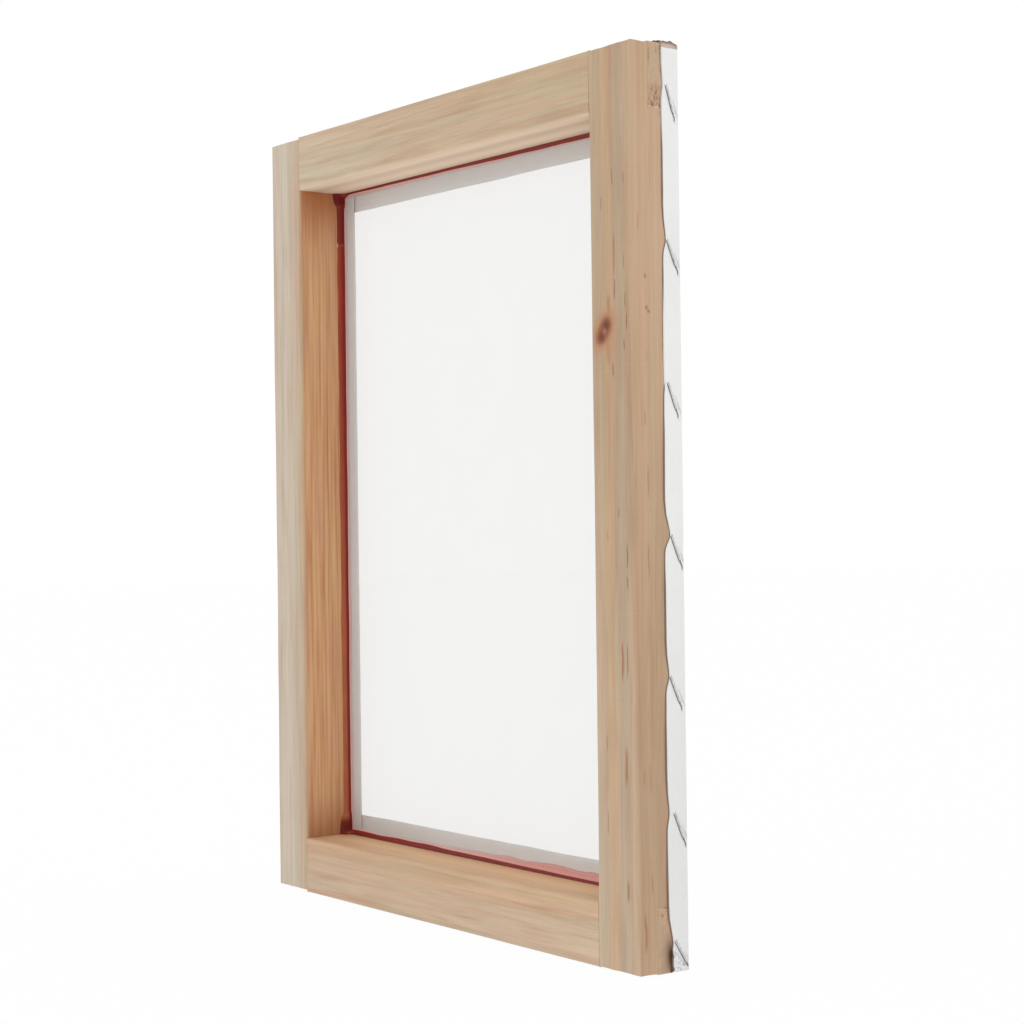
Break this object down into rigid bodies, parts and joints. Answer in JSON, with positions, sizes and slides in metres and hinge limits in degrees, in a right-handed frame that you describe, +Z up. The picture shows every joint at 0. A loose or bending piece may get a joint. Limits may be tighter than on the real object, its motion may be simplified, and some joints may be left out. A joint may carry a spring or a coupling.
{
  "type": "screen printing frame",
  "caption": "Wooden screen printing frame with bridle-jointed corners and white mesh stretched over the back, stapled to the outer edges and sealed inside with a glue bead.",
  "frame": {"origin": "middle of the frame's bottom edge, half way through the timber", "axes": "+X across the frame to the right seen from the open side, +Y through the thickness towards the mesh (print) side, +Z up the long side of the frame"},
  "size_m": [0.3136, 0.0288, 0.4152],
  "materials": {
    "pine_stile": "bare planed pine with a knot and resin streaks",
    "pine_rail": "bare planed pine",
    "screen_mesh": "fine white woven polyester",
    "staple_wire": "dull galvanised wire",
    "red_glue": "dried semi-gloss adhesive",
    "sealing_tape": "matt opaque tape"
  },
  "bodies": {
    "root": {"left_stile": "pine_stile", "right_stile": "pine_stile", "top_rail": "pine_rail", "bottom_rail": "pine_rail", "mesh_panel": "screen_mesh", "mesh_flap_left": "screen_mesh", "mesh_flap_right": "screen_mesh", "mesh_flap_top": "screen_mesh", "mesh_flap_bottom": "screen_mesh", "staples_left": "staple_wire", "staples_right": "staple_wire", "staples_top": "staple_wire", "staples_bottom": "staple_wire", "glue_bead": "red_glue", "sealing_tape_left": "sealing_tape", "sealing_tape_right": "sealing_tape", "sealing_tape_top": "sealing_tape", "sealing_tape_bottom": "sealing_tape"}
  },
  "joints": []
}
